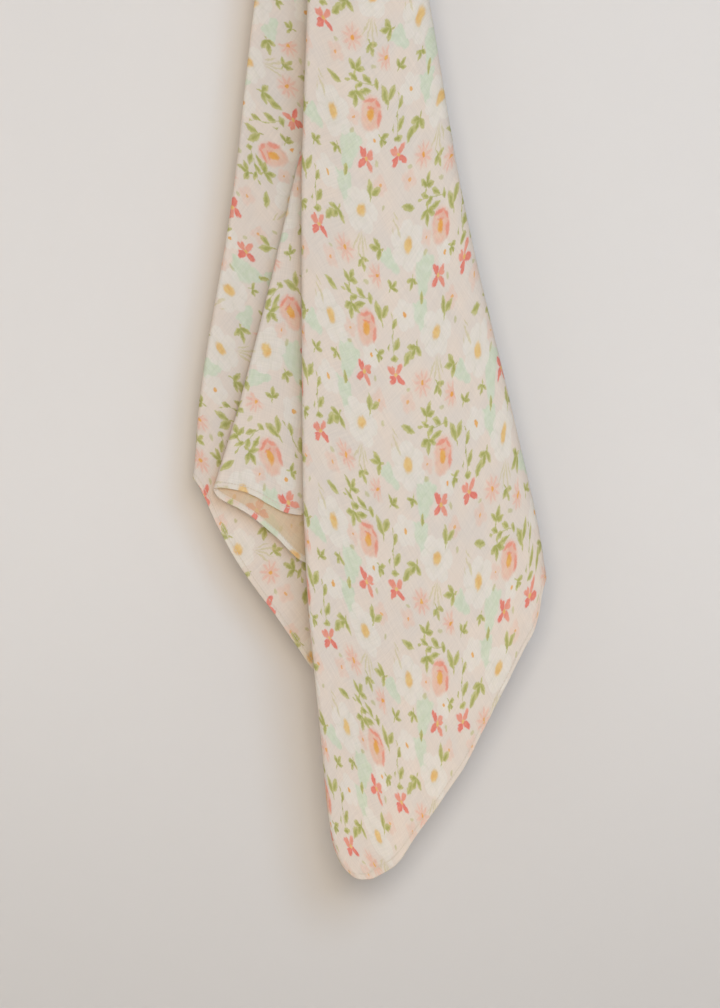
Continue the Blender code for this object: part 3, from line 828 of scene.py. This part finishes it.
def mark_field(tree, local, mark, pointed):
    """0 in the middle of a mark and 1 at its outline, which is a leaf's if it is pointed."""
    along, across = own_place(tree, local, mark)
    if pointed:
        side = node(tree, "Math", operation="ABSOLUTE", links={0: across})
    else:
        side = node(tree, "Math", operation="MULTIPLY", links={0: across, 1: across})
    return node(tree, "Math", operation="MULTIPLY_ADD", links={0: along, 1: along, 2: side})


def painted(tree, place, wetness, clouds):
    """The ground with every layer of every motif painted over it."""
    colours = node(tree, "Mix", out=2, data_type="RGBA",
                   links={"Factor": clouds, 6: colour(GROUND.light), 7: colour(GROUND.deep)})
    for motif in MOTIFS:
        local = nearest_spot(tree, place, motif.spots)
        for layer in motif.layers:
            field = None
            for mark in layer.marks:
                one = mark_field(tree, local, mark, layer.pointed)
                if field is None:
                    field = one
                else:
                    field = node(tree, "Math", operation="MINIMUM", links={0: field, 1: one})
            power = 1.0 if layer.pointed else 2.0
            cover = node(tree, "MapRange", interpolation_type="SMOOTHSTEP",
                         links={"Value": field, 1: (1.0 - layer.soft) ** power,
                                2: (1.0 + layer.soft) ** power, 3: layer.cover, 4: 0.0})
            paint = PAINTS[layer.paint]
            wet = node(tree, "Mix", out=2, data_type="RGBA",
                       links={"Factor": wetness, 6: colour(paint.light), 7: colour(paint.deep)})
            colours = node(tree, "Mix", out=2, data_type="RGBA",
                           links={"Factor": cover, 6: colours, 7: wet})
    return colours


def streaks(tree, along, across, length, width):
    """A noise in streaks, each about so long and so wide."""
    x = node(tree, "Math", operation="DIVIDE", links={0: along, 1: length})
    y = node(tree, "Math", operation="DIVIDE", links={0: across, 1: width})
    stretched = node(tree, "CombineXYZ", links={"X": x, "Y": y})
    return node(tree, "TexNoise", noise_dimensions="2D",
                links={"Vector": stretched, "Scale": 1.0, "Detail": 1.0})


def thick_yarns(tree, along, across):
    """0 where the yarns both ways are thin, 1 where they are thick."""
    one_way = streaks(tree, along, across, SLUB_LENGTH, SLUB_WIDTH)
    other_way = streaks(tree, across, along, SLUB_LENGTH, SLUB_WIDTH)
    total = node(tree, "Math", operation="ADD", links={0: one_way, 1: other_way})
    return node(tree, "MapRange", links={"Value": total, 1: SLUB_RANGE[0], 2: SLUB_RANGE[1]})


def hem_inset(tree, along, across):
    """How far a place is in from the hem, out to the corners' radius."""
    radius = CORNER_RADIUS * MILLIMETRES
    arc_starts = CLOTH_SIDE / 2.0 * MILLIMETRES - radius
    place = node(tree, "CombineXYZ", links={"X": along, "Y": across})
    place = node(tree, "VectorMath", operation="ABSOLUTE", links={0: place})
    place = node(tree, "VectorMath", operation="SUBTRACT",
                 links={0: place, 1: (arc_starts, arc_starts, 0.0)})
    place = node(tree, "VectorMath", operation="MAXIMUM", links={0: place, 1: (0.0, 0.0, 0.0)})
    out_from_arc = node(tree, "VectorMath", out="Value", operation="LENGTH", links={0: place})
    return node(tree, "Math", operation="SUBTRACT", links={0: radius, 1: out_from_arc})


def stitches(tree, inset, round_hem):
    """1 on the thread of the hem's running stitches, 0 elsewhere."""
    off_line = node(tree, "Math", operation="SUBTRACT", links={0: inset, 1: HEM_STITCH_INSET})
    off_line = node(tree, "Math", operation="ABSOLUTE", links={0: off_line})
    on_line = node(tree, "MapRange", interpolation_type="SMOOTHSTEP",
                   links={"Value": off_line, 1: STITCH_WIDTH / 4.0, 2: STITCH_WIDTH, 3: 1.0, 4: 0.0})
    along_stitch = node(tree, "Math", operation="DIVIDE", links={0: round_hem, 1: STITCH_LENGTH})
    along_stitch = node(tree, "Math", operation="FRACT", links={0: along_stitch})
    shows = node(tree, "Math", operation="LESS_THAN", links={0: along_stitch, 1: STITCH_SHARE})
    return node(tree, "Math", operation="MULTIPLY", links={0: on_line, 1: shows})


def puckers(tree, inset, round_hem):
    """0 to 1, the little gathers that the stitches pull across the hem, gone further in."""
    gather = streaks(tree, round_hem, inset, PUCKER_WIDTH, PUCKER_REACH)
    near = node(tree, "MapRange", interpolation_type="SMOOTHSTEP",
                links={"Value": inset, 1: HEM_BAND, 2: PUCKER_REACH, 3: 1.0, 4: 0.0})
    return node(tree, "Math", operation="MULTIPLY", links={0: gather, 1: near})


def surface_height(tree, place, along, across, thick, gathers):
    """The height of the cloth's face in millimetres: its weave, thick yarns, crinkles and puckers."""
    waves = []
    for way in (along, across):
        turns = node(tree, "Math", operation="MULTIPLY", links={0: way, 1: 2.0 * math.pi / YARN_PITCH})
        waves.append(node(tree, "Math", operation="SINE", links={0: turns}))
    weave = node(tree, "Math", operation="MULTIPLY", links={0: waves[0], 1: waves[1]})
    height = node(tree, "Math", operation="MULTIPLY", links={0: weave, 1: YARN_HEIGHT})
    height = node(tree, "Math", operation="MULTIPLY_ADD", links={0: thick, 1: SLUB_HEIGHT, 2: height})
    crinkle = node(tree, "TexNoise", links={"Vector": place, "Scale": 1.0 / CRINKLE_WIDTH, "Detail": 2.0})
    height = node(tree, "Math", operation="MULTIPLY_ADD", links={0: crinkle, 1: CRINKLE_HEIGHT, 2: height})
    return node(tree, "Math", operation="MULTIPLY_ADD", links={0: gathers, 1: PUCKER_HEIGHT, 2: height})


def muslin(name, wrong_side):
    """Plain-woven cotton muslin, screen-printed on one side. It is matt and a little fuzzy, which
    lightens it along its folds, and lets some light through, which warms its shadows. Its yarns run
    on the bias where the front hangs from a corner, so the weave's fine lines slant there. On the
    wrong side the print shows faintly, except on the hem, which is rolled over from the other. The
    wrong side's ground is darker and warmer than the cotton alone, with painted shade of the folds
    it shows in, and the hem band is paler, partly for its double cloth and partly as a painted
    highlight along its rolled edge."""
    material, tree, shader = new_material(name)
    flat = flat_millimetres(tree)
    # The yarns and the hems run at 45 degrees to the line down to the lowest corner.
    along, across = own_place(tree, flat, Mark(0.0, 0.0, 45.0, 1.0, 1.0))
    inset = hem_inset(tree, along, across)
    round_hem = node(tree, "Math", operation="ADD", links={0: along, 1: across})
    thick = thick_yarns(tree, along, across)
    gathers = puckers(tree, inset, round_hem)
    thread = stitches(tree, inset, round_hem)
    on_hem = node(tree, "MapRange", interpolation_type="SMOOTHSTEP",
                  links={"Value": inset, 1: HEM_BAND - HEM_BLUR, 2: HEM_BAND + HEM_BLUR, 3: 1.0, 4: 0.0})
    height = surface_height(tree, flat, along, across, thick, gathers)

    place = brushed(tree, flat)
    wetness = node(tree, "TexNoise", links={"Vector": place, "Scale": 1.0 / WETNESS_WIDTH, "Detail": 2.0})
    wetness = node(tree, "MapRange",
                   links={"Value": wetness, 1: WETNESS_RANGE[0], 2: WETNESS_RANGE[1]})
    clouds = node(tree, "TexNoise", links={"Vector": place, "Scale": 1.0 / CLOUD_WIDTH, "Detail": 1.0})
    clouds = node(tree, "MapRange", links={"Value": clouds, 1: CLOUD_RANGE[0], 2: CLOUD_RANGE[1]})
    colours = painted(tree, in_repeat(tree, place), wetness, clouds)
    # Painted shade: the wrong side's ground is drawn darker and warmer than the cotton's own colour.
    if wrong_side:
        show = node(tree, "MapRange", links={"Value": on_hem, 3: WRONG_SIDE_SHOW, 4: 1.0})
        colours = node(tree, "Mix", out=2, data_type="RGBA",
                       links={"Factor": show, 6: colour(WRONG_SIDE_GROUND_AND_SHADE), 7: colours})
    # The hem band's paleness is partly its double cloth and partly a painted highlight along its rolled
    # edge.
    pale = node(tree, "Math", operation="MULTIPLY", links={0: on_hem, 1: HEM_PALENESS_AND_HIGHLIGHT})
    pale = node(tree, "Math", operation="MAXIMUM", links={0: pale, 1: thread})
    colours = node(tree, "Mix", out=2, data_type="RGBA",
                   links={"Factor": pale, 6: colours, 7: colour(THREAD)})
    shade = node(tree, "MapRange", links={"Value": thick, 3: 1.0 - SLUB_SHADE, 4: 1.0 + SLUB_SHADE})
    colours = node(tree, "HueSaturation", links={"Value": shade, "Color": colours})
    roughness = node(tree, "MapRange", links={"Value": thick, 3: THIN_ROUGHNESS, 4: THICK_ROUGHNESS})
    raised = node(tree, "Math", operation="MULTIPLY_ADD", links={0: thread, 1: THREAD_HEIGHT, 2: height})
    normal = node(tree, "Bump", links={"Height": raised, "Distance": 1.0 / MILLIMETRES})

    tree.links.new(colours, shader.inputs["Base Color"])
    tree.links.new(roughness, shader.inputs["Roughness"])
    tree.links.new(normal, shader.inputs["Normal"])
    shader.inputs["Specular IOR Level"].default_value = SHINE
    shader.inputs["Sheen Weight"].default_value = FUZZ
    shader.inputs["Sheen Roughness"].default_value = FUZZ_ROUGHNESS
    warmed = node(tree, "Mix", out=2, data_type="RGBA", blend_type="MULTIPLY",
                  links={"Factor": 1.0, 6: colours, 7: colour(THROUGH_TINT)})
    through = node(tree, "BsdfTranslucent", links={"Color": warmed})
    cloth_shader = node(tree, "MixShader", links={"Fac": SEE_THROUGH, 1: shader.outputs[0], 2: through})
    tree.links.new(cloth_shader, tree.nodes["Material Output"].inputs["Surface"])
    return material


def into_scene(name, data):
    """An object of that data, in the scene."""
    made = bpy.data.objects.new(name, data)
    bpy.context.scene.collection.objects.link(made)
    return made


def finished(name, mesh):
    """An object of a mesh that is done."""
    data = bpy.data.meshes.new(name)
    mesh.to_mesh(data)
    mesh.free()
    return into_scene(name, data)


def blanket():
    """The cloth: cut and hemmed flat, hung in its folds, then given its thickness and its print."""
    mesh = cut_flat()
    lay_print(mesh)
    weigh_hem(mesh)
    hang(mesh)
    crown = [vert for vert in mesh.verts if vert.co.z > -CROWN_HEIGHT]
    bmesh.ops.remove_doubles(mesh, verts=crown, dist=CROWN_MERGE)
    cloth = finished("blanket_cloth", mesh)
    cloth.vertex_groups.new(name="hem")
    cloth.data.shade_smooth()
    thickness = cloth.modifiers.new("thickness", "SOLIDIFY")
    thickness.thickness = HEM_THICKNESS
    thickness.offset = 0.0
    thickness.vertex_group = "hem"
    thickness.thickness_vertex_group = MUSLIN_THICKNESS / HEM_THICKNESS
    thickness.material_offset = 1
    cloth.data.materials.append(muslin("printed cotton muslin", False))
    cloth.data.materials.append(muslin("wrong side of the muslin", True))
    return cloth


def stage_plane(name, width, height, centre, upright, material):
    """A plain rectangle of the stage, upright like the wall or level like the floor."""
    mesh = bmesh.new()
    bmesh.ops.create_grid(mesh, x_segments=1, y_segments=1, size=0.5)
    bmesh.ops.scale(mesh, verts=mesh.verts, vec=(width, height, 1.0))
    if upright:
        for vert in mesh.verts:
            vert.co = (vert.co.x, 0.0, vert.co.y)
    bmesh.ops.translate(mesh, verts=mesh.verts, vec=centre)
    plane = finished(name, mesh)
    plane.data.materials.append(material)
    return plane


def wall_paint():
    """Pale matt wall paint, with painted shade that darkens it towards the floor, where the room's light
    falls off.
    It shows only from the front, so that the cloth can be seen from behind."""
    material, tree, paint = new_material("matt wall paint")
    height = node(tree, "TexCoord", out="Object")
    height = node(tree, "SeparateXYZ", out="Z", links={0: height})
    # Painted shade: the paint is darker towards the floor, where the room's light falls off.
    painted_shade = node(tree, "MapRange", interpolation_type="SMOOTHSTEP",
               links={"Value": height, 1: WALL_PAINTED_SHADE_FROM, 2: WALL_PAINTED_SHADE_BY, 3: 0.0, 4: 1.0})
    shade = node(tree, "Mix", out=2, data_type="RGBA",
                 links={"Factor": painted_shade, 6: colour(WALL_COLOUR), 7: colour(WALL_PAINTED_SHADE_COLOUR)})
    tree.links.new(shade, paint.inputs["Base Color"])
    paint.inputs["Roughness"].default_value = PAINT_ROUGHNESS
    behind = node(tree, "NewGeometry", out="Backfacing")
    clear = node(tree, "BsdfTransparent")
    one_sided = node(tree, "MixShader", links={"Fac": behind, 1: paint.outputs[0], 2: clear})
    tree.links.new(one_sided, tree.nodes["Material Output"].inputs["Surface"])
    return material


def floor_paint():
    """Pale matt paint on the floor, which throws some light back up at the cloth."""
    material, tree, paint = new_material("matt floor paint")
    paint.inputs["Base Color"].default_value = colour(FLOOR_COLOUR)
    paint.inputs["Roughness"].default_value = PAINT_ROUGHNESS
    return material


def stage():
    wall = stage_plane("wall", WALL_WIDTH, WALL_HEIGHT, (0.0, WALL_Y, VIEW_Z), True, wall_paint())
    wall.visible_glossy = False
    wall.visible_transmission = False
    wall.visible_shadow = False
    stage_plane("floor", FLOOR_SIDE, FLOOR_SIDE, (0.0, 0.0, FLOOR_Z), False, floor_paint())


def area_light(name, place, aim, width, power, code):
    """A round light of its own width, power and colour."""
    light = bpy.data.lights.new(name, "AREA")
    light.shape = "DISK"
    light.size = width
    light.energy = power
    light.color = colour(code)[:3]
    lamp = into_scene(name, light)
    lamp.location = place
    lamp.rotation_euler = (aim - place).to_track_quat("-Z", "Y").to_euler()
    lamp.visible_camera = False


def direction(side_angle, height_angle):
    """Towards the camera, turned to the right and raised."""
    return Vector((math.sin(side_angle) * math.cos(height_angle),
                   -math.cos(side_angle) * math.cos(height_angle),
                   math.sin(height_angle)))


def lights():
    aim = Vector((VIEW_X, 0.0, VIEW_Z))
    key = aim + KEY_DISTANCE * direction(KEY_SIDE_ANGLE, KEY_HEIGHT_ANGLE)
    area_light("key", key, aim, KEY_WIDTH, KEY_POWER, KEY_COLOUR)
    fill = aim + FILL_DISTANCE * direction(0.0, FILL_HEIGHT_ANGLE)
    area_light("fill", fill, aim, FILL_WIDTH, FILL_POWER, FILL_COLOUR)
    area_light("rear", aim + Vector(REAR_PLACE), aim, REAR_WIDTH, REAR_POWER, REAR_COLOUR)
    world = bpy.data.worlds.new("warm room")
    world.use_nodes = True
    background = world.node_tree.nodes["Background"]
    background.inputs["Color"].default_value = colour(AMBIENT_COLOUR)
    background.inputs["Strength"].default_value = AMBIENT_STRENGTH
    bpy.context.scene.world = world


def camera():
    lens = bpy.data.cameras.new("camera")
    lens.sensor_fit = "VERTICAL"
    lens.sensor_height = SENSOR
    lens.lens = SENSOR * CAMERA_DISTANCE / VIEW_HEIGHT
    eye = into_scene("camera", lens)
    eye.location = (VIEW_X, -CAMERA_DISTANCE, VIEW_Z)
    eye.rotation_euler = (math.radians(90.0), 0.0, 0.0)
    bpy.context.scene.camera = eye


camera()
lights()
stage()
cloth = blanket()
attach(cloth, "root")
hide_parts("blanket")
bpy.context.scene.view_settings.view_transform = "Standard"
